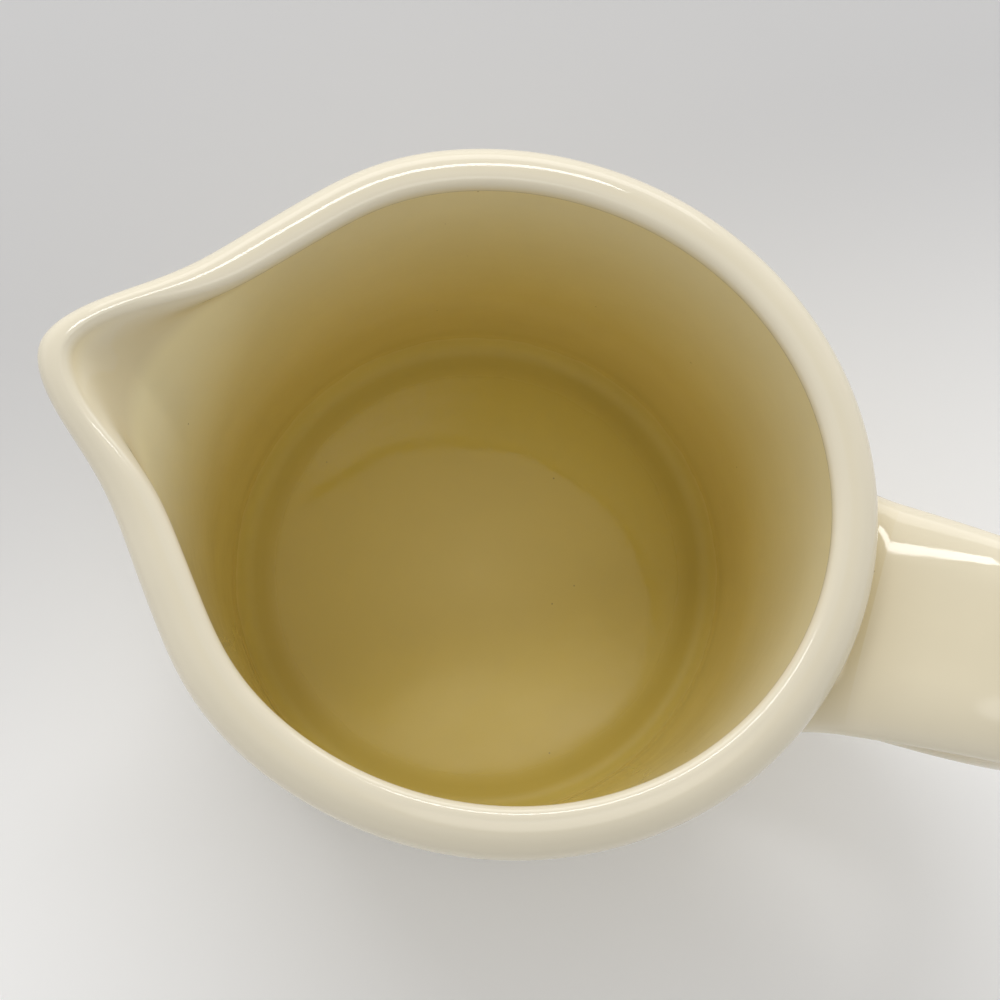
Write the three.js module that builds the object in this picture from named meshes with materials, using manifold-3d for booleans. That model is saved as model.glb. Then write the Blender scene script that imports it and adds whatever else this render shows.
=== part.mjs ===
// A glazed ceramic creamer: a straight round body with a rolled rim and a pulled pouring lip, a broad strap
// handle, and the two fillets of slip that stick the strap's ends to the wall.
// Millimetres, +Z up. The lip points along -X and the handle along +X. The foot ring stands on z = 0.
import * as THREE from "three";
import { mergeVertices } from "three/addons/utils/BufferGeometryUtils.js";
import Module from "manifold-3d";

const wasm = await Module();
wasm.setup();

// Body
const HEIGHT = 72.5; // foot ring to the top of the rim
const INSIDE_RADIUS = 36.1;
const WALL = 3.9;
const FLOOR_THICKNESS = 5;
const FLOOR_FILLET = 3; // inside, where the wall meets the floor
const BASE_ROUND = 5; // outside, how high the wall's lower corner is rounded

// Foot ring
const FOOT_HEIGHT = 2.4; // depth of the hollow that the ring stands round
const FOOT_WIDTH = 4;
const FOOT_INSET = 4.5; // wall's outside to the ring's outside
const FOOT_RISE = 1.6; // ring's straight side, below the rounded corner
const FOOT_EDGE = 0.6; // softened edges of the ring

// Rolled rim: a wide roll outside its crest, a tight edge inside
const ROLL_RADIUS = 3.4;
const ROLL_PROUD = 0.7; // how far the roll stands out from the wall
const EDGE_RADIUS = 1.3;
const EDGE_PROUD = 1.1; // how far the inner edge stands in from the wall
const OVAL_STRETCH = 1.2; // pulling the lip draws the rim this much longer towards lip and handle

// Pouring lip: a bell-shaped reach, and a shallow pinch on each side of it
const LIP_REACH = 11.5;
const LIP_HALF_ANGLE = THREE.MathUtils.degToRad(12.7);
const LIP_POINT = 1.8; // 2 gives a round bell, 1 a sharp point
const LIP_DEPTH = 28; // how far down the wall the pull can be felt
const PINCH_DEPTH = 0.9;
const PINCH_ANGLE = THREE.MathUtils.degToRad(36);
const PINCH_SPREAD = THREE.MathUtils.degToRad(14);

// Strap handle
const STRAP_THICKNESS = 6.5;
const STRAP_TOP_WIDTH = 27.6;
const STRAP_LOW_WIDTH = 15.5;
const STRAP_TAPER = 1.5; // 1 narrows evenly, more narrows sooner below the root
const STRAP_ROLL = 7.8; // how far in from a long edge its rounding starts, at the top
const STRAP_EDGE_FLAT = 0.7; // left between the two rounded corners of a long edge
const ROOT_BELOW_RIM = 11.8; // top of the rim to the middle of the upper root, on the wall
const ROOT_RISE = THREE.MathUtils.degToRad(24); // the strap climbs as it leaves the wall
const SHOULDER_PULL = 26; // how far the strap holds that direction
const HANDLE_REACH = 34; // wall's outside to the strap's outer face
const HANDLE_WAIST = 42; // height of the outermost point of the strap
const WAIST_PULL_UP = 22; // how far the strap runs upright above that point
const WAIST_PULL_DOWN = 15; // and below it
const HANDLE_FOOT = 18; // height of the middle of the lower root
const HEEL_PULL = 15; // how far the strap runs level out of the lower root

// Slip joints
const JOINT_LENGTH = 4.4; // wall to the end of the strap, along the strap
const JOINT_FLARE_WIDE = 2.2; // how far the fillet spreads on the wall, on each side of the strap
const JOINT_FLARE_HIGH = 1.5; // the same above and below it
const CLEARANCE = 0.3; // between pieces that touch

// Facets
const TURN_FACETS = 64;
const LIP_GATHER = 0.5; // 0 spaces the facets evenly, towards 1 they gather at the lip
const WALL_ROWS = 9;
const STRAP_ROWS = 34;
const JOINT_ROWS = 7;
const CORNER_FACETS = 3;
const BASE_FACETS = 5;
const ROLL_FACETS = 8;
const EDGE_FACETS = 6;
const FILLET_FACETS = 4;
const TOUCHING = 1e-4; // points nearer than this are one point

const OUTSIDE_RADIUS = INSIDE_RADIUS + WALL;
const ROLL_R = OUTSIDE_RADIUS + ROLL_PROUD - ROLL_RADIUS;
const ROLL_Z = HEIGHT - ROLL_RADIUS;
const OUTER_NECK_Z = ROLL_Z - Math.sqrt(ROLL_RADIUS ** 2 - (OUTSIDE_RADIUS - ROLL_R) ** 2);
const EDGE_R = INSIDE_RADIUS - EDGE_PROUD + EDGE_RADIUS;
const EDGE_Z = HEIGHT - EDGE_RADIUS;
const INNER_NECK_Z = EDGE_Z - Math.sqrt(EDGE_RADIUS ** 2 - (EDGE_R - INSIDE_RADIUS) ** 2);
const FLOOR_Z = FOOT_HEIGHT + FLOOR_THICKNESS;
const CORNER_TOP_Z = FOOT_RISE + BASE_ROUND;
const UPPER_ROOT_Z = HEIGHT - ROOT_BELOW_RIM;
const STRAP_EDGE = (STRAP_THICKNESS - STRAP_EDGE_FLAT) / 2;

const glaze = () => new THREE.MeshStandardMaterial({ color: "#e2dbc0", roughness: 0.15, metalness: 0 });

// Points on a straight run, without its first point.
function run(from, to, steps) {
  return Array.from({ length: steps }, (_, i) => from.clone().lerp(to, (i + 1) / steps));
}

// Points on an arc of an ellipse, without its first point. Angles in degrees, 0 outwards and 90 upwards.
function arc(centreR, centreZ, radiusR, radiusZ, fromDeg, toDeg, steps) {
  return Array.from({ length: steps }, (_, i) => {
    const angle = THREE.MathUtils.degToRad(fromDeg + ((toDeg - fromDeg) * (i + 1)) / steps);
    return new THREE.Vector2(centreR + radiusR * Math.cos(angle), centreZ + radiusZ * Math.sin(angle));
  });
}

// The outside of the body from the middle of its underside up to the neck below the rim.
function outsideProfile() {
  const footOuter = OUTSIDE_RADIUS - FOOT_INSET;
  const footInner = footOuter - FOOT_WIDTH;
  const wallFoot = new THREE.Vector2(OUTSIDE_RADIUS, CORNER_TOP_Z);
  const wallNeck = new THREE.Vector2(OUTSIDE_RADIUS, OUTER_NECK_Z);
  return [
    new THREE.Vector2(0, FOOT_HEIGHT),
    new THREE.Vector2(footInner - FOOT_EDGE, FOOT_HEIGHT),
    new THREE.Vector2(footInner, FOOT_HEIGHT - FOOT_EDGE),
    new THREE.Vector2(footInner, FOOT_EDGE),
    new THREE.Vector2(footInner + FOOT_EDGE, 0),
    new THREE.Vector2(footOuter - FOOT_EDGE, 0),
    new THREE.Vector2(footOuter, FOOT_EDGE),
    new THREE.Vector2(footOuter, FOOT_RISE),
    ...arc(footOuter, CORNER_TOP_Z, FOOT_INSET, BASE_ROUND, -90, 0, BASE_FACETS).slice(0, -1),
    wallFoot,
    ...run(wallFoot, wallNeck, WALL_ROWS),
  ];
}

// The rim's roll, from the neck outside up to the crest.
function rollProfile() {
  const below = THREE.MathUtils.radToDeg(Math.atan2(ROLL_Z - OUTER_NECK_Z, OUTSIDE_RADIUS - ROLL_R));
  return arc(ROLL_R, ROLL_Z, ROLL_RADIUS, ROLL_RADIUS, -below, 90, ROLL_FACETS);
}

// The rim's inner edge, from the crest down to the neck inside.
function edgeProfile() {
  const below = THREE.MathUtils.radToDeg(Math.atan2(EDGE_Z - INNER_NECK_Z, EDGE_R - INSIDE_RADIUS));
  const crest = new THREE.Vector2(EDGE_R, HEIGHT);
  return [crest, ...arc(EDGE_R, EDGE_Z, EDGE_RADIUS, EDGE_RADIUS, 90, 180 + below, EDGE_FACETS)];
}

// The inside, from the neck down the wall and over the floor to the axis.
function insideProfile() {
  const wallNeck = new THREE.Vector2(INSIDE_RADIUS, INNER_NECK_Z);
  const wallFoot = new THREE.Vector2(INSIDE_RADIUS, FLOOR_Z + FLOOR_FILLET);
  return [
    ...run(wallNeck, wallFoot, WALL_ROWS),
    ...arc(INSIDE_RADIUS - FLOOR_FILLET, wallFoot.y, FLOOR_FILLET, FLOOR_FILLET, 0, -90, FILLET_FACETS),
    new THREE.Vector2(0, FLOOR_Z),
  ];
}

// What is left of the pull at a height: all of it at the rim, dying away to nothing over the given depth.
function pullAt(z, depth) {
  const share = THREE.MathUtils.clamp((ROLL_Z - z) / depth, 0, 1);
  return (1 - share) ** 2;
}

// How far the wall is drawn outwards at an angle from the lip, at a height.
function drawnOut(turn, z) {
  const lip = LIP_REACH * Math.exp(-((turn / LIP_HALF_ANGLE) ** LIP_POINT));
  const pinch = PINCH_DEPTH * Math.exp(-(((turn - PINCH_ANGLE) / PINCH_SPREAD) ** 2));
  const oval = OVAL_STRETCH * Math.cos(2 * turn);
  return (lip - pinch) * pullAt(z, LIP_DEPTH) + oval * pullAt(z, ROLL_Z - FLOOR_Z);
}

// A turned form whose rim is then drawn oval and pulled into the lip.
function turnedAndPulled(profile) {
  const form = new THREE.LatheGeometry(profile, TURN_FACETS);
  form.rotateX(Math.PI / 2);
  const place = form.attributes.position;
  for (let i = 0; i < place.count; i++) {
    const radius = Math.hypot(place.getX(i), place.getY(i));
    const even = Math.atan2(place.getY(i), -place.getX(i));
    const turn = even - LIP_GATHER * Math.sin(even);
    const onAxis = radius < TOUCHING;
    const drawn = onAxis ? 0 : radius + drawnOut(Math.abs(turn), place.getZ(i));
    place.setXY(i, -drawn * Math.cos(turn), drawn * Math.sin(turn));
  }
  return form;
}

// A closed geometry as a solid that can be cut.
function solid(geometry) {
  const bare = geometry.clone();
  bare.deleteAttribute("normal");
  bare.deleteAttribute("uv");
  const merged = mergeVertices(bare, TOUCHING);
  const vertProperties = merged.attributes.position.array;
  const triVerts = new Uint32Array(merged.index.array);
  return new wasm.Manifold(new wasm.Mesh({ numProp: 3, vertProperties, triVerts }));
}

// A cut solid back as a geometry.
function geometryOf(cut) {
  const { vertProperties, triVerts } = cut.getMesh();
  const geometry = new THREE.BufferGeometry();
  geometry.setAttribute("position", new THREE.BufferAttribute(vertProperties, 3));
  geometry.setIndex(new THREE.BufferAttribute(triVerts, 1));
  geometry.computeVertexNormals();
  return geometry;
}

// The strap's section, with its width along the shape's x and its thickness along y.
function strapSection(width) {
  const roll = (STRAP_ROLL * width) / STRAP_TOP_WIDTH;
  const x = width / 2 - roll;
  const y = STRAP_THICKNESS / 2 - STRAP_EDGE;
  const quarter = Math.PI / 2;
  const section = new THREE.Shape();
  section.absellipse(x, y, roll, STRAP_EDGE, 0, quarter);
  section.absellipse(-x, y, roll, STRAP_EDGE, quarter, 2 * quarter);
  section.absellipse(-x, -y, roll, STRAP_EDGE, 2 * quarter, 3 * quarter);
  section.absellipse(x, -y, roll, STRAP_EDGE, 3 * quarter, 4 * quarter);
  section.closePath();
  return section;
}

// Where the wall's outside stands at the back, under the handle, at a height.
function backWallX(z) {
  return OUTSIDE_RADIUS + drawnOut(Math.PI, z);
}

// The middle of each root on the wall, with the direction in which the strap leaves it.
const upperRoot = {
  place: new THREE.Vector3(backWallX(UPPER_ROOT_Z), 0, UPPER_ROOT_Z),
  rise: ROOT_RISE,
  width: STRAP_TOP_WIDTH,
};
const lowerRoot = {
  place: new THREE.Vector3(backWallX(HANDLE_FOOT), 0, HANDLE_FOOT),
  rise: 0,
  width: STRAP_LOW_WIDTH,
};

// A point at a distance out of a root.
function outOf(root, distance) {
  const way = new THREE.Vector3(Math.cos(root.rise), 0, Math.sin(root.rise));
  return root.place.clone().addScaledVector(way, distance);
}

// The middle line of the strap: out of the wall, over the shoulder, down and back in above the foot.
function strapPath() {
  const waist = new THREE.Vector3(OUTSIDE_RADIUS + HANDLE_REACH - STRAP_THICKNESS / 2, 0, HANDLE_WAIST);
  const path = new THREE.CurvePath();
  path.add(
    new THREE.CubicBezierCurve3(
      outOf(upperRoot, JOINT_LENGTH),
      outOf(upperRoot, JOINT_LENGTH + SHOULDER_PULL),
      new THREE.Vector3(waist.x, 0, waist.z + WAIST_PULL_UP),
      waist,
    ),
  );
  path.add(
    new THREE.CubicBezierCurve3(
      waist,
      new THREE.Vector3(waist.x, 0, waist.z - WAIST_PULL_DOWN),
      outOf(lowerRoot, JOINT_LENGTH + HEEL_PULL),
      outOf(lowerRoot, JOINT_LENGTH),
    ),
  );
  return path;
}

function makeVessel() {
  const profile = [...outsideProfile(), ...rollProfile(), ...edgeProfile(), ...insideProfile()];
  const vessel = new THREE.Mesh(turnedAndPulled(profile), glaze());
  vessel.name = "vessel_body";
  return vessel;
}

// The width of the strap at a share of its length from the upper root.
function strapWidthAt(share) {
  return STRAP_LOW_WIDTH + (STRAP_TOP_WIDTH - STRAP_LOW_WIDTH) * (1 - share) ** STRAP_TAPER;
}

// One strap of an even width, then narrowed along its length.
function makeHandle() {
  const path = strapPath();
  const strap = new THREE.ExtrudeGeometry(strapSection(STRAP_TOP_WIDTH), {
    extrudePath: path,
    steps: STRAP_ROWS,
    curveSegments: CORNER_FACETS,
  });
  const stations = path.getSpacedPoints(STRAP_ROWS);
  const place = strap.attributes.position;
  const spot = new THREE.Vector3();
  for (let i = 0; i < place.count; i++) {
    spot.set(place.getX(i), 0, place.getZ(i));
    const gaps = stations.map((station) => station.distanceTo(spot));
    const share = gaps.indexOf(Math.min(...gaps)) / STRAP_ROWS;
    place.setY(i, (place.getY(i) * strapWidthAt(share)) / STRAP_TOP_WIDTH);
  }
  const handle = new THREE.Mesh(strap, glaze());
  handle.name = "strap_handle";
  return handle;
}

// All that the body fills, inside too, grown by the clearance. It cuts the joints to the wall.
function bodyCutter() {
  const skin = [...outsideProfile(), ...rollProfile()];
  const grown = skin.map((p) => new THREE.Vector2(p.x > 0 ? p.x + CLEARANCE : 0, p.y));
  return turnedAndPulled([...grown, new THREE.Vector2(0, HEIGHT)]);
}

// A plug of slip from inside the wall out to the strap's end, spread in a hollow curve and cut to the wall.
function makeJoint(name, root) {
  const wallX = root.place.x;
  const halfSpread = root.width / 2 + JOINT_FLARE_WIDE;
  const edgeLength = JOINT_LENGTH + wallX - Math.sqrt(wallX ** 2 - halfSpread ** 2);
  const depth = edgeLength + WALL + STRAP_THICKNESS * Math.tan(root.rise);
  const plug = new THREE.ExtrudeGeometry(strapSection(root.width), {
    depth,
    steps: JOINT_ROWS,
    bevelEnabled: false,
    curveSegments: CORNER_FACETS,
  });
  const place = plug.attributes.position;
  for (let i = 0; i < place.count; i++) {
    const fromStrap = depth - place.getZ(i);
    const wide = Math.min(1, fromStrap / edgeLength) ** 2 * JOINT_FLARE_WIDE;
    const high = Math.min(1, fromStrap / JOINT_LENGTH) ** 2 * JOINT_FLARE_HIGH;
    place.setX(i, place.getX(i) * (1 + wide / (root.width / 2)));
    place.setY(i, place.getY(i) * (1 + high / (STRAP_THICKNESS / 2)));
  }
  plug.translate(0, 0, JOINT_LENGTH - CLEARANCE - depth);
  const outwards = new THREE.Matrix4().makeBasis(
    new THREE.Vector3(0, 1, 0),
    new THREE.Vector3(-Math.sin(root.rise), 0, Math.cos(root.rise)),
    new THREE.Vector3(Math.cos(root.rise), 0, Math.sin(root.rise)),
  );
  plug.applyMatrix4(outwards.setPosition(root.place));
  const cut = solid(plug).subtract(solid(bodyCutter()));
  const joint = new THREE.Mesh(geometryOf(cut), glaze());
  joint.name = name;
  return joint;
}

const creamer = new THREE.Group();
creamer.add(makeVessel());
creamer.add(makeHandle());
creamer.add(makeJoint("upper_handle_joint", upperRoot));
creamer.add(makeJoint("lower_handle_joint", lowerRoot));

// The frame's origin lies under the middle of the whole length from lip to handle.
const reach = new THREE.Box3().setFromObject(creamer);
creamer.position.x = -(reach.min.x + reach.max.x) / 2;

export default creamer;
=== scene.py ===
# %% [markdown]
# # A glazed ceramic creamer
# A creamer is a small jug for cream. This one is cast in clay: a straight round body with a rolled rim and
# a pulled lip, and a broad strap handle that was made by itself and stuck on with slip, which is liquid
# clay. All of it wears one cream glaze. The lesson builds the four pieces with bmesh, in metres, in the
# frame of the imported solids: +Z is up, the lip points along -X and the handle along +X.

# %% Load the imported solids
import math

import bmesh
import bpy
from mathutils import Matrix, Vector
from mathutils.geometry import interpolate_bezier


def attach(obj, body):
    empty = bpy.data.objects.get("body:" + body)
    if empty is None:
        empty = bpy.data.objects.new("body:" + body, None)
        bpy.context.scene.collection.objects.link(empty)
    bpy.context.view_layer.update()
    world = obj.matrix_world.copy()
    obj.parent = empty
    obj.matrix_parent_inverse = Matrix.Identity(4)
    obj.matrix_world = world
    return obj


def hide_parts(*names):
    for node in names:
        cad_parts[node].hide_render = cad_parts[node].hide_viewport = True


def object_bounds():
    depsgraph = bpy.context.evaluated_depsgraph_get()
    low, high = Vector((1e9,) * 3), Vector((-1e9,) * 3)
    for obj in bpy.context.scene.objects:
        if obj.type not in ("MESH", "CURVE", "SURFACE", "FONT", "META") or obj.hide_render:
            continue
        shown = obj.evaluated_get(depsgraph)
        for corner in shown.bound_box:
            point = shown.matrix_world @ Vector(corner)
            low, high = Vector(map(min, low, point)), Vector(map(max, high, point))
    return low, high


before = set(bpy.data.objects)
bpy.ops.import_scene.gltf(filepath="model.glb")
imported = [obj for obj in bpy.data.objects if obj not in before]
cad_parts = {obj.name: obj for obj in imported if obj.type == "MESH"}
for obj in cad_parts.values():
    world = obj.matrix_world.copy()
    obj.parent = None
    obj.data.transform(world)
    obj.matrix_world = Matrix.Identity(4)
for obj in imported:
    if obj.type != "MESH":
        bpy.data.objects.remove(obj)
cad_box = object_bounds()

MM = 0.001
print("solids:", sorted(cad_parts))
print("their box in mm:", [[round(c / MM, 2) for c in corner] for corner in cad_box])

# %% [markdown]
# ## The camera
# The photograph looks almost straight down into the body. The camera stands a little to the near side, so
# it is tipped forward by a few degrees, and it is also rolled, which turns the handle down to the right.
# Its place was found from the rim, the lip and the edge of the floor in the photograph.

# %% Sizes of the body
HEIGHT = 72.5 * MM
INSIDE_RADIUS = 36.04 * MM
WALL = 3.9 * MM
OUTSIDE_RADIUS = INSIDE_RADIUS + WALL
HANDLE_FROM_AXIS = 74.0 * MM

AXIS_X = cad_box[1][0] - HANDLE_FROM_AXIS
print("the body's axis stands at x =", round(AXIS_X / MM, 2), "mm")

# %% Place the camera
CAMERA_NEARER = 34.0 * MM
CAMERA_HEIGHT = 230.35 * MM
CAMERA_TIP = math.radians(11.5)
CAMERA_ROLL = math.radians(17.36)
LENS_MM = 54.0
SENSOR_MM = 36.0
NEAREST_SEEN = 10.0 * MM

lens = bpy.data.cameras.new("photo_camera")
lens.lens = LENS_MM
lens.sensor_width = SENSOR_MM
lens.clip_start = NEAREST_SEEN
camera = bpy.data.objects.new("photo_camera", lens)
bpy.context.scene.collection.objects.link(camera)
bpy.context.scene.camera = camera
stand = Matrix.Translation((AXIS_X, -CAMERA_NEARER, CAMERA_HEIGHT))
camera.matrix_world = stand @ Matrix.Rotation(CAMERA_TIP, 4, "X") @ Matrix.Rotation(CAMERA_ROLL, 4, "Z")
print("camera stands at", [round(c / MM, 1) for c in camera.location], "mm")

# %% [markdown]
# ## The body's outline
# Half of the body's section is one line, from the middle of the underside, round the foot ring, up the
# wall, over the rolled rim, and down inside to the middle of the floor. A potter would cut it as a
# template. Here one vertex is extruded from corner to corner, and the corners are rounded by a vertex
# bevel. The rim is a vertex that is spun: first through the hollow below the rim, then over a wide roll to
# the crest, and then over a tight edge into the inside. A sponge has softened that edge in the lip, so a
# softer outline is measured too.

# %% Helpers to draw an outline
WELD = 0.001 * MM


def draw_to(outline, tip, r, z):
    """Draws a straight edge from the tip of the line to a new point, which is the new tip."""
    new = bmesh.ops.extrude_vert_indiv(outline, verts=[tip])["verts"][0]
    new.co = (r, 0, z)
    return new


def sweep_round(outline, tip, r, z, degrees, steps):
    """Sweeps the tip of the line round a centre. Positive turns go from outwards to upwards."""
    swept = bmesh.ops.spin(
        outline, geom=[tip], cent=(r, 0, z), axis=(0, -1, 0), angle=math.radians(degrees), steps=steps
    )
    return next(g for g in swept["geom_last"] if isinstance(g, bmesh.types.BMVert))


# %% The middles of the rim's curves
ROLL_RADIUS = 3.4 * MM
ROLL_PROUD = 0.7 * MM
OUTER_HOLLOW = 1.5 * MM
EDGE_RADIUS = 1.3 * MM
EDGE_PROUD = 1.1 * MM
INNER_HOLLOW = 1.0 * MM

roll_r = OUTSIDE_RADIUS + ROLL_PROUD - ROLL_RADIUS
roll_z = HEIGHT - ROLL_RADIUS
outer_reach = OUTSIDE_RADIUS + OUTER_HOLLOW - roll_r
outer_drop = math.sqrt((ROLL_RADIUS + OUTER_HOLLOW) ** 2 - outer_reach**2)
outer_turn = math.degrees(math.atan2(outer_drop, outer_reach))
edge_r = INSIDE_RADIUS - EDGE_PROUD + EDGE_RADIUS
edge_z = HEIGHT - EDGE_RADIUS
inner_reach = edge_r - INSIDE_RADIUS + INNER_HOLLOW
inner_drop = math.sqrt((EDGE_RADIUS + INNER_HOLLOW) ** 2 - inner_reach**2)
inner_turn = math.degrees(math.atan2(inner_drop, inner_reach))
print("the rim is", round((WALL + ROLL_PROUD + EDGE_PROUD) / MM, 2), "mm wide")

# %% Draw the outside, the rim and the inside
FLOOR_THICKNESS = 5.0 * MM
FLOOR_FILLET = 3.0 * MM
FOOT_HEIGHT = 2.4 * MM
FOOT_WIDTH = 4.0 * MM
FOOT_INSET = 4.5 * MM
FOOT_RISE = 1.6 * MM
ROLL_STEPS = 28
EDGE_STEPS = 14
HOLLOW_STEPS = 5

foot_outer = OUTSIDE_RADIUS - FOOT_INSET
foot_inner = foot_outer - FOOT_WIDTH
floor_z = FOOT_HEIGHT + FLOOR_THICKNESS
outer_neck_z = roll_z - outer_drop
inner_neck_z = edge_z - inner_drop

outline = bmesh.new()
under_middle = outline.verts.new((0, 0, FOOT_HEIGHT))
under_corner = draw_to(outline, under_middle, foot_inner, FOOT_HEIGHT)
ring_inner = draw_to(outline, under_corner, foot_inner, 0)
ring_outer = draw_to(outline, ring_inner, foot_outer, 0)
ring_root = draw_to(outline, ring_outer, foot_outer, FOOT_RISE)
base_corner = draw_to(outline, ring_root, OUTSIDE_RADIUS, FOOT_RISE)
outer_neck = draw_to(outline, base_corner, OUTSIDE_RADIUS, outer_neck_z)
tip = sweep_round(outline, outer_neck, roll_r + outer_reach, outer_neck_z, -outer_turn, HOLLOW_STEPS)
tip = sweep_round(outline, tip, roll_r, roll_z, 90 + outer_turn, ROLL_STEPS)
tip = draw_to(outline, tip, edge_r, HEIGHT)
tip = sweep_round(outline, tip, edge_r, edge_z, 90 + inner_turn, EDGE_STEPS)
inner_neck = sweep_round(outline, tip, edge_r - inner_reach, inner_neck_z, -inner_turn, HOLLOW_STEPS)
floor_corner = draw_to(outline, inner_neck, INSIDE_RADIUS, floor_z)
draw_to(outline, floor_corner, 0, floor_z)
print("outline drawn with", len(outline.verts), "points")

# %% Round the corners and cut the long runs into rows
ROUND_PROFILE = 0.5
UNDER_FILLET = 1.2 * MM
RING_ROUND = 0.8 * MM
RING_FILLET = 0.5 * MM
BASE_ROUND = 3.9 * MM
TIGHT_STEPS = 3
SMALL_STEPS = 5
WIDE_STEPS = 10
ROW_LENGTH = 1.1 * MM
CREST_CUTS = 3


def round_off(shape, points, radius, steps):
    """Rounds the corners at some points by a vertex bevel."""
    bmesh.ops.bevel(
        shape,
        geom=points,
        offset=radius,
        segments=steps,
        profile=ROUND_PROFILE,
        affect="VERTICES",
        material=-1,
    )


corners = [
    (under_corner, UNDER_FILLET, SMALL_STEPS),
    (ring_inner, RING_ROUND, SMALL_STEPS),
    (ring_outer, RING_ROUND, SMALL_STEPS),
    (ring_root, RING_FILLET, TIGHT_STEPS),
    (base_corner, BASE_ROUND, WIDE_STEPS),
    (floor_corner, FLOOR_FILLET, WIDE_STEPS),
]
for point, radius, steps in corners:
    round_off(outline, [point], radius, steps)
crest = [edge for edge in outline.edges if all(vert.co.z > HEIGHT - WELD for vert in edge.verts)]
bmesh.ops.subdivide_edges(outline, edges=crest, cuts=CREST_CUTS)
for edge in list(outline.edges):
    rows = int(edge.calc_length() / ROW_LENGTH)
    if rows > 1:
        bmesh.ops.subdivide_edges(outline, edges=[edge], cuts=rows - 1)
print("outline has", len(outline.verts), "points after rounding")

# %% Soften the changes of bend along the rim
SOFT_PASSES = 6
SOFT_FACTOR = 0.5


def soften(points, passes):
    """Moves points of the outline half-way to the middle of their neighbours, a number of times."""
    for _ in range(passes):
        bmesh.ops.smooth_vert(outline, verts=points, factor=SOFT_FACTOR, use_axis_x=True, use_axis_z=True)


edge_inmost = edge_r - EDGE_RADIUS
rim_points = [vert for vert in outline.verts if vert.co.z > inner_neck_z and vert.co.x > edge_inmost - WELD]
soften(rim_points, SOFT_PASSES)
print("softened", len(rim_points), "points of the rim")

# %% Measure a softer inner edge for the lip
SPONGE_PASSES = 120
SPONGE_DEPTH = 18.0 * MM

soft_r = outline.verts.layers.float.new("soft_r")
soft_z = outline.verts.layers.float.new("soft_z")
kept = {vert: vert.co.copy() for vert in outline.verts}
inner_side = [
    vert
    for vert in outline.verts
    if edge_inmost - WELD < vert.co.x < roll_r and vert.co.z > HEIGHT - SPONGE_DEPTH
]
soften(inner_side, SPONGE_PASSES)
for vert, place in kept.items():
    vert[soft_r] = vert.co.x - place.x
    vert[soft_z] = vert.co.z - place.z
    vert.co = place
print("the sponge takes off", round(-min(vert[soft_z] for vert in outline.verts) / MM, 2), "mm at most")

# %% [markdown]
# ## Turning the body
# A full spin of the outline gives a round body. Glaze ran down the inside while it was liquid: it stands in
# a pool on the floor and fills the corner below the wall. The pool's darker colour is partly that glaze and
# partly painted shade of the deep floor, and a darker line just inside the floor's edge is painted shade of
# that edge. Where these lie is noted now, while the body is still round and distances from that edge are
# plain sums. The notes are attributes of the points, which the glaze reads later.

# %% Turn the outline
COLUMNS = 224

body = outline
bmesh.ops.spin(
    body,
    geom=body.verts[:] + body.edges[:],
    cent=(0, 0, 0),
    axis=(0, 0, 1),
    angle=math.tau,
    steps=COLUMNS,
    use_merge=True,
)
bmesh.ops.remove_doubles(body, verts=body.verts, dist=WELD)
print("body turned:", len(body.verts), "points")

# %% Note where glaze pools and where shade is painted inside
POOL_REACH = 37.0 * MM
POOL_RISE = 5.0 * MM
CORNER_REACH = 3.0 * MM
CORNER_RISE = 5.0 * MM
LINE_INSET = 0.9 * MM
LINE_WIDTH = 1.7 * MM


def lies_inside(vert):
    """Says whether a point of the round body is inside the rim and not below the floor."""
    return math.hypot(vert.co.x, vert.co.y) < roll_r and vert.co.z > floor_z - WELD


def fades(distance, reach):
    """A soft spot: 1 in its middle, and almost nothing at twice its reach."""
    return math.exp(-((distance / reach) ** 2))


pool_and_shade = body.verts.layers.float.new("pool_and_shade")
in_corner = body.verts.layers.float.new("corner")
shaded_floor_line = body.verts.layers.float.new("shaded_floor_line")
floor_edge = INSIDE_RADIUS - FLOOR_FILLET
for vert in filter(lies_inside, body.verts):
    past_edge = math.hypot(vert.co.x, vert.co.y) - floor_edge
    from_edge = abs(past_edge) + (vert.co.z - floor_z)
    on_floor = past_edge < 0
    # The pool note is partly pooled glaze and partly painted shade, strongest on the floor and low on the
    # wall.
    vert[pool_and_shade] = fades(from_edge, POOL_REACH if on_floor else POOL_RISE)
    vert[in_corner] = fades(from_edge, CORNER_REACH if on_floor else CORNER_RISE)
    # The floor line note paints a thin ring of shade just inside the floor's edge.
    vert[shaded_floor_line] = fades(past_edge + LINE_INSET, LINE_WIDTH)
print("the floor inside is", round(2 * floor_edge / MM, 1), "mm across")

# %% [markdown]
# ## Pulling the lip
# The lip was pulled out of the soft rim, so the same is done here: every point is moved outwards by a
# bell-shaped amount that is largest at the rim in the middle of the lip and dies away down the wall. A
# shallow pinch on each side of the lip and a slight oval of the whole rim belong to the same pull. Inside,
# the pull dies away from the crest on, so the lip is a shallow spoon, and its edge takes the softer outline,
# so that cream runs over it. The columns of the mesh gather at the lip, where the form bends most.

# %% How far the wall is drawn out
OVAL_STRETCH = 1.2 * MM
LIP_REACH = 11.45 * MM
LIP_HALF_ANGLE = math.radians(12.7)
LIP_POINT = 1.8
LIP_DEPTH = 28.0 * MM
OUTER_FADE = 2.0
INNER_FADE = 2.7
PINCH_DEPTH = 0.9 * MM
PINCH_ANGLE = math.radians(36)
PINCH_SPREAD = math.radians(14)
SPONGE_ANGLE = math.radians(12)
SPOON_START = 0.8 * MM


def clamp(value):
    """Keeps a value between 0 and 1."""
    return min(max(value, 0), 1)


def pull_left(z, top, bottom, fade):
    """What is left of the pull at a height: all of it above the top, nothing below the bottom."""
    return clamp((z - bottom) / (top - bottom)) ** fade


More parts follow.
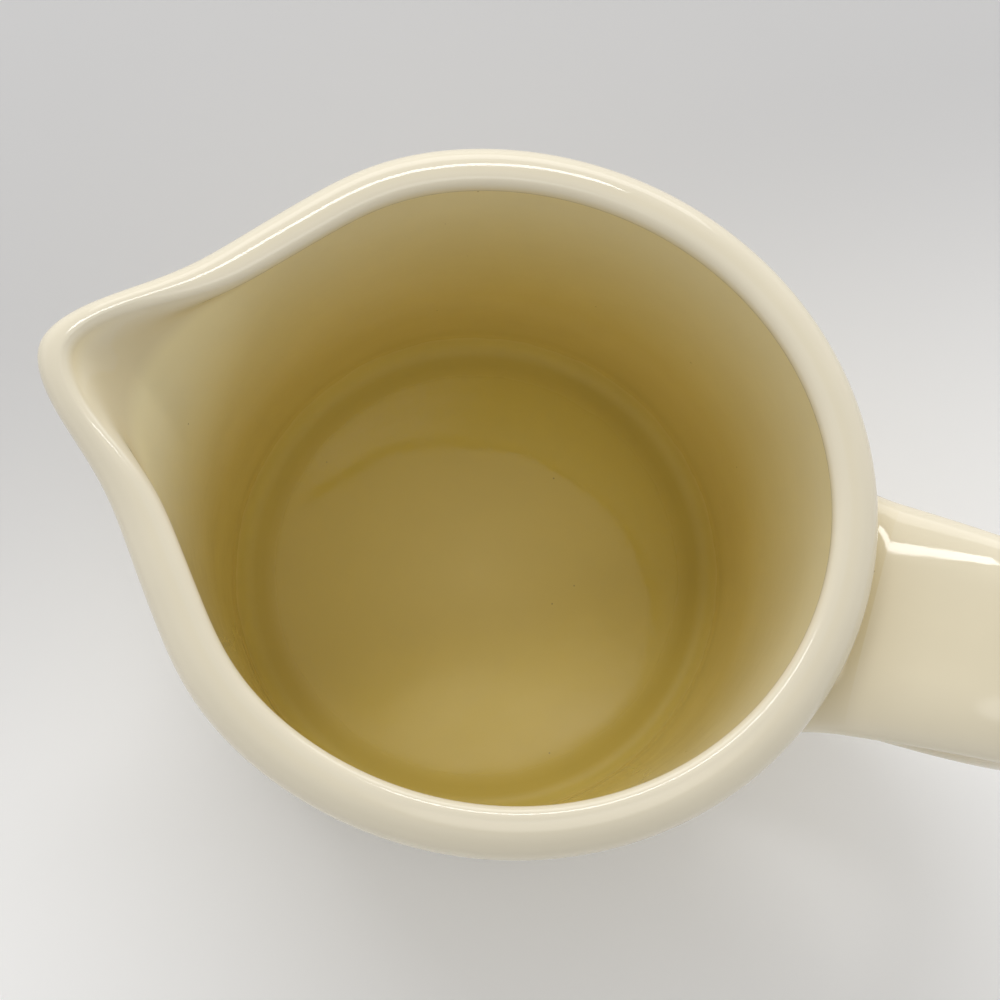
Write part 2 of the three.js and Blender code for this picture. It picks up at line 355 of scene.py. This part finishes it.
def drawn_out(turn, z, top=roll_z, fade=OUTER_FADE):
    """How far the wall is drawn outwards at an angle from the lip, at a height."""
    lip = LIP_REACH * math.exp(-((turn / LIP_HALF_ANGLE) ** LIP_POINT))
    pinch = PINCH_DEPTH * math.exp(-(((turn - PINCH_ANGLE) / PINCH_SPREAD) ** 2))
    oval = OVAL_STRETCH * math.cos(2 * turn)
    in_lip = (lip - pinch) * pull_left(z, top, roll_z - LIP_DEPTH, fade)
    return in_lip + oval * pull_left(z, roll_z, floor_z, OUTER_FADE)


lip_end = OUTSIDE_RADIUS + ROLL_PROUD + drawn_out(0, roll_z)
print("the lip reaches", round(lip_end / MM, 1), "mm from the axis")

# %% Pull the lip
LIP_GATHER = 0.5
LESS_SHADE_IN_LIP = 0.9

soft_r = body.verts.layers.float["soft_r"]
soft_z = body.verts.layers.float["soft_z"]
inside = body.verts.layers.float.new("inside")
for vert in body.verts:
    radius = math.hypot(vert.co.x, vert.co.y)
    within = lies_inside(vert)
    below = clamp((edge_z - vert.co.z) / (edge_z - floor_z))
    pull = 0
    if radius > WELD:
        even = math.atan2(vert.co.y, -vert.co.x)
        turn = even - LIP_GATHER * math.sin(even)
        sponged = fades(turn, SPONGE_ANGLE)
        vert.co.z += sponged * vert[soft_z]
        pull = drawn_out(abs(turn), vert.co.z)
        if within:
            pull = drawn_out(abs(turn), vert.co.z, HEIGHT - SPOON_START, INNER_FADE)
        radius += sponged * vert[soft_r] + pull
        vert.co.x = -radius * math.cos(turn)
        vert.co.y = radius * math.sin(turn)
    # The inside note is a share of painted shade: it grows from the rim down to the floor, less in the open
    # lip.
    if within:
        vert[inside] = below * (1 - LESS_SHADE_IN_LIP * clamp(pull / LIP_REACH))
bmesh.ops.translate(body, verts=body.verts, vec=(AXIS_X, 0, 0))
lip_tip = min(vert.co.x for vert in body.verts)
print("the tip of the lip is at x =", round(lip_tip / MM, 2), "mm")

# %% [markdown]
# ## Where glaze gathers
# Liquid glaze runs off ridges and gathers in hollows before it sets, so the rim and the edges of the strap
# are a little paler, and the fillets and the corner of the floor a little deeper in colour. The bend of the
# surface at each point says which it is, so it is measured once on each finished piece and kept as an
# attribute that the glaze reads.

# %% Measure the bend of a surface
FULL_BEND = 90.0
SOFTENING = 10
PLAIN_DEPTH = 0.5


def on_skin(vert):
    """The neighbours of a point along the visible, smooth faces."""
    edges = [edge for edge in vert.link_edges if any(face.smooth for face in edge.link_faces)]
    return [edge.other_vert(vert) for edge in edges]


def note_glaze_depth(piece):
    """Writes 0 on ridges, one half on plain walls and on a toe line, and 1 in hollows."""
    piece.normal_update()
    piece.verts.index_update()
    toe_line = piece.verts.layers.int.get("toe_line")
    neighbours = [[] if toe_line and vert[toe_line] else on_skin(vert) for vert in piece.verts]
    bends = []
    for vert, others in zip(piece.verts, neighbours):
        skin = sum((face.normal for face in vert.link_faces if face.smooth), Vector()).normalized()
        steps = [other.co - vert.co for other in others]
        bends.append(sum(s.dot(skin) / s.length_squared for s in steps) / max(len(steps), 1))
    for _ in range(SOFTENING):
        bends = [
            (bend + sum(bends[other.index] for other in others)) / (1 + len(others))
            for bend, others in zip(bends, neighbours)
        ]
    depth = piece.verts.layers.float.new("glaze_depth")
    for vert, bend in zip(piece.verts, bends):
        vert[depth] = clamp(PLAIN_DEPTH * (1 + bend / FULL_BEND))
    return min(bends), max(bends)


# %% [markdown]
# ## The glaze
# The glaze is a clear, slightly yellow glass over pale clay. Its colour changes a little with its depth, it
# drifts in soft clouds, and it carries a few iron specks the size of a pinprick. Inside, the colour is
# painted light and shade: pale and lit near the rim, a shaded, deeper yellow further down, and deepest on
# the floor, where a real pool of glaze adds to the painted shade. A line of painted shade runs round the
# floor's edge, and the corner is dull. Its face is glossy but not flat: it has the faint ripple of orange
# peel, which makes reflections waver. Below the glaze line the foot ring is bare, dry clay. All of this is
# in one material with one Principled shader, from Object coordinates and the attributes of the piece.

# %% Helpers for material nodes
def add_node(tree, kind, **settings):
    """Adds a shader node and sets its properties and, by their names, its plain inputs."""
    node = tree.nodes.new(kind)
    for name, value in settings.items():
        if name.startswith("in_"):
            node.inputs[name[3:].replace("_", " ")].default_value = value
        else:
            setattr(node, name, value)
    return node


def add_ramp(tree, source, stops):
    """A colour ramp on a source, with a list of places and colours."""
    ramp = tree.nodes.new("ShaderNodeValToRGB")
    while len(ramp.color_ramp.elements) < len(stops):
        ramp.color_ramp.elements.new(0.5)
    for element, (place, colour) in zip(ramp.color_ramp.elements, stops):
        element.position = place
        element.color = (*colour, 1)
    tree.links.new(source, ramp.inputs["Fac"])
    return ramp.outputs["Color"]


def mix_colour(tree, share, first, second, blend="MIX"):
    """Mixes two colours. Each input is a socket or a plain value."""
    node = tree.nodes.new("ShaderNodeMix")
    node.data_type = "RGBA"
    node.blend_type = blend
    for socket, value in ((node.inputs[0], share), (node.inputs[6], first), (node.inputs[7], second)):
        if isinstance(value, bpy.types.NodeSocket):
            tree.links.new(value, socket)
        elif isinstance(value, tuple):
            socket.default_value = (*value, 1)
        else:
            socket.default_value = value
    return node.outputs[2]


def map_range(tree, source, low, high, to_low, to_high):
    """Takes a value from one range to another, smoothly and without going past its ends."""
    node = add_node(tree, "ShaderNodeMapRange", interpolation_type="SMOOTHSTEP")
    for name, value in (("From Min", low), ("From Max", high), ("To Min", to_low), ("To Max", to_high)):
        node.inputs[name].default_value = value
    tree.links.new(source, node.inputs["Value"])
    return node.outputs["Result"]


def read_note(tree, name):
    """The value of an attribute that was noted on the points of a piece."""
    return add_node(tree, "ShaderNodeAttribute", attribute_name=name).outputs["Fac"]


def how_far_along(tree, source, direction):
    """How far a place or a look goes along a direction."""
    node = add_node(tree, "ShaderNodeVectorMath", operation="DOT_PRODUCT")
    node.inputs[1].default_value = direction
    tree.links.new(source, node.inputs[0])
    return node.outputs["Value"]


def join_values(tree, operation, first, second):
    """Makes one value out of two by a maths operation."""
    node = add_node(tree, "ShaderNodeMath", operation=operation)
    tree.links.new(first, node.inputs[0])
    tree.links.new(second, node.inputs[1])
    return node.outputs["Value"]


# %% The colours and the face of the glaze
THIN_GLAZE = (0.79, 0.725, 0.57)
CREAM_GLAZE = (0.765, 0.685, 0.495)
DEEP_GLAZE = (0.72, 0.615, 0.37)
# Painted light and shade inside: the upper wall pale and lit, the wall further down shaded, deeper yellow.
LIT_UPPER_INNER = (0.91, 0.83, 0.56)
SHADED_INNER_GLAZE = (0.83, 0.69, 0.275)
# The pool's colour is partly pooled glaze and partly painted shade of the deep floor.
POOLED_AND_SHADED_GLAZE = (0.635, 0.50, 0.10)
# The floor line's colour is painted shade round the floor's edge.
FLOOR_LINE_SHADE = (0.59, 0.457, 0.082)
IRON_SPECK = (0.22, 0.15, 0.08)
BARE_CLAY = (0.66, 0.57, 0.44)
CLAY_GRAIN = 0.8
DEEPEST_CLOUD = 0.982
PALEST_CLOUD = 1.014
SPECK_SCALE = 150
SPECK_CORE = 0.012
SPECK_EDGE = 0.026
SPECK_STRENGTH = 0.6
LINE_WAVER = 0.9 * MM
BARE_BELOW = 0.15 * MM
GLAZED_ABOVE = 0.35 * MM
GLAZE_IOR = 1.52
GLOSSIEST = 0.04
LEAST_GLOSSY = 0.1
CORNER_ROUGHNESS = 0.55
CLAY_ROUGHNESS = 0.85
WAVE_DEPTH = 0.22 * MM
PEEL_DEPTH = 0.012 * MM
print("the pool's colour is", [round(a / b, 2) for a, b in zip(POOLED_AND_SHADED_GLAZE, CREAM_GLAZE)], "of the cream")

# %% Mix the cream glaze
def cream_glaze():
    """One material for all pieces: the colour, the gloss and the ripple of the glaze, and bare clay."""
    material = bpy.data.materials.new("cream_glaze")
    material.use_nodes = True
    tree = material.node_tree
    shader = tree.nodes["Principled BSDF"]
    shader.inputs["IOR"].default_value = GLAZE_IOR
    place = add_node(tree, "ShaderNodeTexCoord").outputs["Object"]

    def cloud(scale, detail):
        node = add_node(tree, "ShaderNodeTexNoise", in_Scale=scale, in_Detail=detail)
        tree.links.new(place, node.inputs["Vector"])
        return node.outputs["Fac"]

    outer_stops = [(0.1, THIN_GLAZE), (PLAIN_DEPTH, CREAM_GLAZE), (0.95, DEEP_GLAZE)]
    # Inside, the colour is painted shade, from lit and pale near the rim to shaded and deep towards the
    # floor.
    inner_shade_stops = [(0.1, LIT_UPPER_INNER), (0.65, SHADED_INNER_GLAZE)]
    within = read_note(tree, "inside")
    colour = add_ramp(tree, read_note(tree, "glaze_depth"), outer_stops)
    shaded_inner = add_ramp(tree, within, inner_shade_stops)
    # The pool darkens the floor: partly pooled glaze, partly painted shade.
    shaded_inner = mix_colour(tree, read_note(tree, "pool_and_shade"), shaded_inner, POOLED_AND_SHADED_GLAZE)
    # A ring of painted shade just inside the floor's edge.
    shaded_inner = mix_colour(tree, read_note(tree, "shaded_floor_line"), shaded_inner, FLOOR_LINE_SHADE)
    inner_share = map_range(tree, within, low=0.0, high=0.05, to_low=0.0, to_high=1.0)
    colour = mix_colour(tree, inner_share, colour, shaded_inner)
    clouds = cloud(scale=70, detail=3)
    drift = map_range(tree, clouds, low=0.3, high=0.7, to_low=DEEPEST_CLOUD, to_high=PALEST_CLOUD)
    tone = add_node(tree, "ShaderNodeCombineColor")
    for channel in tone.inputs:
        tree.links.new(drift, channel)
    colour = mix_colour(tree, 1.0, colour, tone.outputs["Color"], "MULTIPLY")

    specks = add_node(tree, "ShaderNodeTexVoronoi", in_Scale=SPECK_SCALE)
    tree.links.new(place, specks.inputs["Vector"])
    speck_share = map_range(tree, specks.outputs["Distance"], SPECK_CORE, SPECK_EDGE, SPECK_STRENGTH, 0.0)
    colour = mix_colour(tree, speck_share, colour, IRON_SPECK)

    height = add_node(tree, "ShaderNodeSeparateXYZ")
    tree.links.new(place, height.inputs["Vector"])
    waver = add_node(tree, "ShaderNodeMath", operation="MULTIPLY_ADD")
    tree.links.new(cloud(scale=160, detail=2), waver.inputs[0])
    waver.inputs[1].default_value = -LINE_WAVER
    tree.links.new(height.outputs["Z"], waver.inputs[2])
    bare = map_range(tree, waver.outputs["Value"], BARE_BELOW, GLAZED_ABOVE, to_low=1.0, to_high=0.0)
    grain = map_range(tree, cloud(scale=2600, detail=4), low=0.35, high=0.65, to_low=0.0, to_high=1.0)
    clay = mix_colour(tree, grain, BARE_CLAY, tuple(c * CLAY_GRAIN for c in BARE_CLAY))
    colour = mix_colour(tree, bare, colour, clay)
    tree.links.new(colour, shader.inputs["Base Color"])

    def mix_value(share, first, second):
        node = add_node(tree, "ShaderNodeMix")
        tree.links.new(share, node.inputs[0])
        tree.links.new(first, node.inputs[2])
        node.inputs[3].default_value = second
        return node.outputs[0]

    patches = cloud(scale=240, detail=2)
    roughness = map_range(tree, patches, low=0.3, high=0.7, to_low=GLOSSIEST, to_high=LEAST_GLOSSY)
    roughness = mix_value(read_note(tree, "corner"), roughness, CORNER_ROUGHNESS)
    roughness = mix_value(bare, roughness, CLAY_ROUGHNESS)
    tree.links.new(roughness, shader.inputs["Roughness"])

    wave = add_node(tree, "ShaderNodeBump", in_Distance=WAVE_DEPTH)
    tree.links.new(cloud(scale=45, detail=1), wave.inputs["Height"])
    peel = add_node(tree, "ShaderNodeBump", in_Distance=PEEL_DEPTH)
    tree.links.new(cloud(scale=420, detail=2), peel.inputs["Height"])
    tree.links.new(wave.outputs["Normal"], peel.inputs["Normal"])
    tree.links.new(peel.outputs["Normal"], shader.inputs["Normal"])
    return material


glaze = cream_glaze()
print("the glaze has", len(glaze.node_tree.nodes), "nodes")

# %% [markdown]
# ## Finishing a piece
# Every piece ends in the same way. Points that lie on each other are welded and the faces are turned
# outwards. The faces are shaded smoothly, except the hidden ones where pieces meet: the edges round those are
# marked sharp, so that the skin does not bend towards them. The piece then takes the place of its solid.

# %% A helper that finishes a piece
def finish_piece(shape, name, node):
    """Welds, shades and glazes a shape, and lets it take the place of its solid."""
    bmesh.ops.remove_doubles(shape, verts=shape.verts, dist=WELD)
    bmesh.ops.recalc_face_normals(shape, faces=shape.faces)
    for edge in shape.edges:
        edge.smooth = len({face.smooth for face in edge.link_faces}) == 1
    bend = note_glaze_depth(shape)
    open_edges = sum(not edge.is_manifold for edge in shape.edges)
    mesh = bpy.data.meshes.new(name)
    shape.to_mesh(mesh)
    shape.free()
    mesh.materials.append(glaze)
    piece = bpy.data.objects.new(name, mesh)
    bpy.context.scene.collection.objects.link(piece)
    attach(piece, "root")
    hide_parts(node)
    print(name, "has", len(mesh.polygons), "faces and", open_edges, "open edges")
    print("  its bends go from", round(bend[0]), "to", round(bend[1]))


# %% Finish the body
for face in body.faces:
    face.smooth = True
finish_piece(body, "creamer_body", "vessel_body")

# %% [markdown]
# ## The strap
# The handle is a strap of clay, wider where it leaves the rim and narrower below. Its middle line is two
# Bezier curves: up out of the wall and over the shoulder, then down to the waist and back in above the foot.
# The section is an oblong whose long edges roll over in a wide, flat curve. It is extruded from station to
# station along that line, and each station sets its place, its turn and its width.

# %% The middle line of the strap
STRAP_THICKNESS = 6.5 * MM
STRAP_TOP_WIDTH = 27.6 * MM
STRAP_LOW_WIDTH = 15.5 * MM
STRAP_TAPER = 1.5
ROOT_BELOW_RIM = 11.8 * MM
ROOT_RISE = math.radians(24)
SHOULDER_PULL = 26.0 * MM
HANDLE_WAIST = 42.0 * MM
WAIST_PULL_UP = 22.0 * MM
WAIST_PULL_DOWN = 15.0 * MM
HANDLE_FOOT = 18.0 * MM
HEEL_PULL = 15.0 * MM
JOINT_LENGTH = 4.4 * MM
STATIONS = 60


def out_of_wall(z, rise, distance):
    """A point at a distance out of the back of the wall, in the direction of a root."""
    wall_x = AXIS_X + OUTSIDE_RADIUS + drawn_out(math.pi, z)
    return Vector((wall_x + distance * math.cos(rise), 0, z + distance * math.sin(rise)))


upper_z = HEIGHT - ROOT_BELOW_RIM
waist = Vector((AXIS_X + HANDLE_FROM_AXIS - STRAP_THICKNESS / 2, 0, HANDLE_WAIST))
shoulder_run = interpolate_bezier(
    out_of_wall(upper_z, ROOT_RISE, JOINT_LENGTH),
    out_of_wall(upper_z, ROOT_RISE, JOINT_LENGTH + SHOULDER_PULL),
    waist + Vector((0, 0, WAIST_PULL_UP)),
    waist,
    STATIONS,
)
heel_run = interpolate_bezier(
    waist,
    waist - Vector((0, 0, WAIST_PULL_DOWN)),
    out_of_wall(HANDLE_FOOT, 0, JOINT_LENGTH + HEEL_PULL),
    out_of_wall(HANDLE_FOOT, 0, JOINT_LENGTH),
    STATIONS,
)
middle_line = [Vector(p) for p in shoulder_run + heel_run[1:]]
travelled = [0.0]
for here, there in zip(middle_line, middle_line[1:]):
    travelled.append(travelled[-1] + (there - here).length)
print("the strap is", round(travelled[-1] / MM, 1), "mm long")

# %% Where each station stands
ACROSS = Vector((0, 1, 0))


def strap_width(share):
    """The width of the strap as a share of its width at the top."""
    low = STRAP_LOW_WIDTH / STRAP_TOP_WIDTH
    return low + (1 - low) * (1 - share) ** STRAP_TAPER


def station(point, along, width):
    """The matrix that sets the section on the line: x across the strap, y through it, z along it."""
    through = along.cross(ACROSS)
    turned = Matrix((ACROSS * width, through, along)).transposed().to_4x4()
    return Matrix.Translation(point) @ turned


upper_way = Vector((math.cos(ROOT_RISE), 0, math.sin(ROOT_RISE)))
lower_way = Vector((-1, 0, 0))
stations = []
for i, point in enumerate(middle_line):
    before = middle_line[max(i - 1, 0)]
    after = middle_line[min(i + 1, len(middle_line) - 1)]
    along = (after - before).normalized()
    if i == 0:
        along = upper_way
    if i == len(middle_line) - 1:
        along = lower_way
    stations.append(station(point, along, strap_width(travelled[i] / travelled[-1])))
print("stations:", len(stations))

# %% The section of the strap
STRAP_ROLL = 7.8 * MM
STRAP_EDGE = 3.2 * MM
CURVE_COLUMNS = 14
FACE_COLUMNS = 10


def strap_section():
    """A bmesh with one face: round corners on a narrow oblong, which is then stretched across."""
    stretch = STRAP_ROLL / STRAP_EDGE
    shape = bmesh.new()
    bmesh.ops.create_grid(shape, x_segments=1, y_segments=1, size=0.5)
    bmesh.ops.scale(shape, verts=shape.verts, vec=(STRAP_TOP_WIDTH / stretch, STRAP_THICKNESS, 1))
    round_off(shape, shape.verts[:], STRAP_EDGE, CURVE_COLUMNS)
    flats = [edge for edge in shape.edges if edge.calc_length() > STRAP_EDGE]
    bmesh.ops.subdivide_edges(shape, edges=flats, cuts=FACE_COLUMNS - 1)
    bmesh.ops.dissolve_faces(shape, faces=shape.faces[:])
    bmesh.ops.scale(shape, verts=shape.verts, vec=(stretch, 1, 1))
    return shape


def section_normal(x, y):
    """The outward direction of the section's outline at one of its points."""
    past_x = max(abs(x) - STRAP_TOP_WIDTH / 2 + STRAP_ROLL, 0) / STRAP_ROLL**2
    past_y = max(abs(y) - STRAP_THICKNESS / 2 + STRAP_EDGE, 0) / STRAP_EDGE**2
    return Vector((math.copysign(past_x, x), math.copysign(past_y, y), 0)).normalized()


sample = strap_section()
print("the section has", len(sample.verts), "points and", len(sample.faces), "face")
sample.free()

# %% Extrude the strap
def grow(shape, end, step):
    """Extrudes the end face by a matrix and gives the new end face. Only the very first face stays behind."""
    first = all(edge.is_boundary for edge in end.edges)
    grown = bmesh.ops.extrude_face_region(shape, geom=[end])["geom"]
    new_end = next(g for g in grown if isinstance(g, bmesh.types.BMFace))
    bmesh.ops.transform(shape, matrix=step, verts=new_end.verts)
    if not first and end.is_valid:
        bmesh.ops.delete(shape, geom=[end], context="FACES_ONLY")
    return new_end


strap = strap_section()
strap.faces.ensure_lookup_table()
end = strap.faces[0]
bmesh.ops.transform(strap, matrix=stations[0], verts=strap.verts)
for before, after in zip(stations, stations[1:]):
    end = grow(strap, end, after @ before.inverted())
for face in strap.faces:
    face.smooth = len(face.verts) == 4
print("strap extruded:", len(strap.faces), "faces")

# %% Finish the strap
finish_piece(strap, "strap", "strap_handle")

# %% [markdown]
# ## The slip fillets
# The strap's ends were pressed on the wall with slip, and a wet sponge rounded the joint. The fillet starts
# on the strap's end, runs down its sides, and turns into the wall in a hollow curve. So each point of the
# section gets a Bezier curve of its own: it leaves along the strap, is drawn to the corner where that line
# would meet the wall, and ends flat on the wall. A plug that reaches into the wall closes it.

# %% Find the wall
WALL_SEARCH = 24.0 * MM
HALVINGS = 40
NUDGE = 0.01 * MM


def wall_gap(point):
    """How far a point lies outside the wall."""
    x = point.x - AXIS_X
    turn = math.atan2(abs(point.y), -x)
    return math.hypot(x, point.y) - OUTSIDE_RADIUS - drawn_out(turn, point.z)


def onto_wall(point, way):
    """The point where a line meets the wall."""
    near, far = 0.0, WALL_SEARCH
    for _ in range(HALVINGS):
        half = (near + far) / 2
        if wall_gap(point + way * half) > 0:
            near = half
        else:
            far = half
    return point + way * near


def wall_normal(point):
    """The outward direction of the wall at a point on it."""
    steps = [axis * NUDGE for axis in Matrix.Identity(3)]
    return Vector([wall_gap(point + step) - wall_gap(point - step) for step in steps]).normalized()


behind = Vector((AXIS_X + HANDLE_FROM_AXIS, 0, upper_z))
print("the wall stands", round(wall_gap(behind) / MM, 2), "mm in from the back of the handle")

# %% Shape a fillet
FILLET_ROWS = 22
FILLET_SPREAD = 2.6 * MM
STRAP_PULL = 0.4
WALL_PULL = 0.7
TOE_SINK = 0.01 * MM
PLUG_DEPTH = 0.6 * MM


def make_fillet(name, node, place, narrowing):
    """A fillet from a strap's end to the wall. The strap narrows by a share of its width per metre."""
    shape = strap_section()
    toe_line = shape.verts.layers.int.new("toe_line")
    shape.faces.ensure_lookup_table()
    end = shape.faces[0]
    row_step = Matrix.Translation((0, 0, -1))
    for _ in range(FILLET_ROWS + 1):
        end = grow(shape, end, row_step)
    top_and_bottom = [edge for edge in end.edges if edge.verts[0].co.y * edge.verts[1].co.y > 0]
    along = place.to_3x3().col[2].normalized()
    turn_normals = place.to_3x3().inverted().transposed()
    plug = {vert for vert in shape.verts if -round(vert.co.z) > FILLET_ROWS}
    for vert in shape.verts:
        row = -round(vert.co.z)
        start = place @ Vector((vert.co.x, vert.co.y, 0))
        away = (turn_normals @ section_normal(vert.co.x, vert.co.y)).normalized()
        side = Vector((0, start.y * narrowing, 0))
        way = -(along + side).normalized()
        corner = onto_wall(start, way)
        outward = wall_normal(corner)
        rise = away - way * away.dot(outward) / way.dot(outward)
        toe = corner + rise.normalized() * FILLET_SPREAD
        toe -= wall_normal(toe) * (wall_gap(toe) + TOE_SINK)
        leave = start.lerp(corner, STRAP_PULL)
        arrive = toe.lerp(corner, WALL_PULL)
        curve = interpolate_bezier(start, leave, arrive, toe, FILLET_ROWS + 1)
        vert.co = curve[min(row, FILLET_ROWS)]
        vert[toe_line] = row == FILLET_ROWS
        if row > FILLET_ROWS:
            vert.co -= wall_normal(toe) * PLUG_DEPTH
    bmesh.ops.delete(shape, geom=[end], context="FACES_ONLY")
    bmesh.ops.bridge_loops(shape, edges=top_and_bottom)
    for face in shape.faces:
        face.smooth = len(face.verts) == 4 and plug.isdisjoint(face.verts)
    finish_piece(shape, name, node)


# %% Make both fillets
FIRST_BIT = 0.01

taper_at_root = (strap_width(FIRST_BIT) - strap_width(0)) / (FIRST_BIT * travelled[-1])
make_fillet("upper_slip_fillet", "upper_handle_joint", stations[0], taper_at_root)
lower_end = station(middle_line[-1], -lower_way, strap_width(1))
make_fillet("lower_slip_fillet", "lower_handle_joint", lower_end, narrowing=0.0)

# %% [markdown]
# ## Floor and light
# The creamer stands on pale paper, with painted shade that greys it beside the creamer on its far side. A
# long strip of light hangs on the far side, a little towards the lip. It draws the bright line along the rim
# and along the edge of the strap. A weak panel behind it lights the far edges. The room gives the rest: it is
# brighter on the far side, as beside a window, pale walls all round light the outside of the body, and a soft
# glow overhead shines in the near half of the floor inside.

# %% Paint shade on the paper
SHADED_PAPER = (0.61, 0.61, 0.62)
PALE_PAPER = (0.95, 0.95, 0.955)
PAPER_ROUGHNESS = 0.9
TONE_WAY = (0.55, -0.83, 0.0)
SHADE_TO = -70.0 * MM
PALE_FROM = 30.0 * MM
SHADE_WITHIN = 100.0 * MM
PALE_BEYOND = 500.0 * MM


def paper_with_painted_shade():
    """Pale paper with painted shade, grey beside the creamer on its far side and pale everywhere else."""
    material = bpy.data.materials.new("paper_with_painted_shade")
    material.use_nodes = True
    tree = material.node_tree
    shader = tree.nodes["Principled BSDF"]
    shader.inputs["Roughness"].default_value = PAPER_ROUGHNESS
    place = add_node(tree, "ShaderNodeTexCoord").outputs["Object"]
    # Painted shade: the paper is grey near the creamer on its far side and turns pale further off.
    near_tone = map_range(tree, how_far_along(tree, place, TONE_WAY), SHADE_TO, PALE_FROM, 0.0, 1.0)
    away = add_node(tree, "ShaderNodeVectorMath", operation="LENGTH")
    tree.links.new(place, away.inputs[0])
    far_tone = map_range(tree, away.outputs["Value"], SHADE_WITHIN, PALE_BEYOND, 0.0, 1.0)
    tone = join_values(tree, "MAXIMUM", near_tone, far_tone)
    colour = mix_colour(tree, tone, SHADED_PAPER, PALE_PAPER)
    tree.links.new(colour, shader.inputs["Base Color"])
    return material


paper = paper_with_painted_shade()
print("the paper has", len(paper.node_tree.nodes), "nodes")

# %% Lay the floor
FLOOR_SIZE = 1.8

ground = bmesh.new()
bmesh.ops.create_grid(ground, x_segments=1, y_segments=1, size=FLOOR_SIZE / 2)
ground_mesh = bpy.data.meshes.new("paper_floor")
ground.to_mesh(ground_mesh)
ground.free()
ground_mesh.materials.append(paper)
paper_floor = bpy.data.objects.new("paper_floor", ground_mesh)
bpy.context.scene.collection.objects.link(paper_floor)
print("floor laid,", FLOOR_SIZE, "m wide")

# %% A helper that hangs a soft box
MIDDLE = Vector((AXIS_X, 0, HEIGHT))


def hang_soft_box(name, width, height, distance, azimuth, from_zenith, watts):
    """Hangs a flat soft light that looks at the middle of the rim. Angles in degrees."""
    lamp = bpy.data.lights.new(name, "AREA")
    lamp.shape = "RECTANGLE"
    lamp.size = width
    lamp.size_y = height
    lamp.energy = watts
    holder = bpy.data.objects.new(name, lamp)
    bpy.context.scene.collection.objects.link(holder)
    lean = math.radians(from_zenith)
    side = math.radians(azimuth)
    way = Vector((math.sin(lean) * math.cos(side), math.sin(lean) * math.sin(side), math.cos(lean)))
    holder.location = MIDDLE + way * distance
    holder.rotation_euler = way.to_track_quat("Z", "Y").to_euler()
    holder.visible_camera = False
    print(name, "of", watts, "W at", [round(c, 2) for c in holder.location])


# %% Hang the bright strip and the far panel
hang_soft_box("bright_strip", width=0.6, height=0.1, distance=0.8, azimuth=120, from_zenith=38, watts=1.8)
hang_soft_box("far_panel", width=1.2, height=0.4, distance=1.0, azimuth=107, from_zenith=72, watts=2.6)

# %% The room's light
ROOM_COLOUR = (1.0, 0.99, 0.97, 1.0)
UP = (0, 0, 1)
NEAR_STRENGTH = 0.44
FAR_STRENGTH = 0.71
FAR_AZIMUTH = math.radians(130)
PALE_WALLS = 0.3
WALLS_FULL = 0.05
WALLS_END = 0.5
GLOW = 1.7
GLOW_WAY = (0.15, -0.07, 0.985)
GLOW_INNER = math.cos(math.radians(4))
GLOW_OUTER = math.cos(math.radians(14))

room = bpy.data.worlds.new("pale_room")
bpy.context.scene.world = room
room.use_nodes = True
tree = room.node_tree
shade = tree.nodes["Background"]
shade.inputs["Color"].default_value = ROOM_COLOUR
look = add_node(tree, "ShaderNodeTexCoord").outputs["Generated"]
far_way = (math.cos(FAR_AZIMUTH), math.sin(FAR_AZIMUTH), 0)
lit = map_range(tree, how_far_along(tree, look, far_way), -1, 1, NEAR_STRENGTH, FAR_STRENGTH)
walls = map_range(tree, how_far_along(tree, look, UP), WALLS_FULL, WALLS_END, PALE_WALLS, 0)
glow = map_range(tree, how_far_along(tree, look, GLOW_WAY), GLOW_OUTER, GLOW_INNER, 0, GLOW)
for more in (walls, glow):
    lit = join_values(tree, "ADD", lit, more)
tree.links.new(lit, shade.inputs["Strength"])
print("room light from", NEAR_STRENGTH, "on the near side to", FAR_STRENGTH, "on the far side")

# %% What the camera sees of the room
SEEN_COLOUR = (0.86, 0.86, 0.87, 1.0)

seen = add_node(tree, "ShaderNodeBackground", in_Color=SEEN_COLOUR)
path = add_node(tree, "ShaderNodeLightPath")
either = add_node(tree, "ShaderNodeMixShader")
tree.links.new(path.outputs["Is Camera Ray"], either.inputs["Fac"])
tree.links.new(shade.outputs["Background"], either.inputs[1])
tree.links.new(seen.outputs["Background"], either.inputs[2])
tree.links.new(either.outputs["Shader"], tree.nodes["World Output"].inputs["Surface"])
bpy.context.scene.view_settings.view_transform = "Standard"
print("the camera sees a plain grey room of", SEEN_COLOUR[:3])
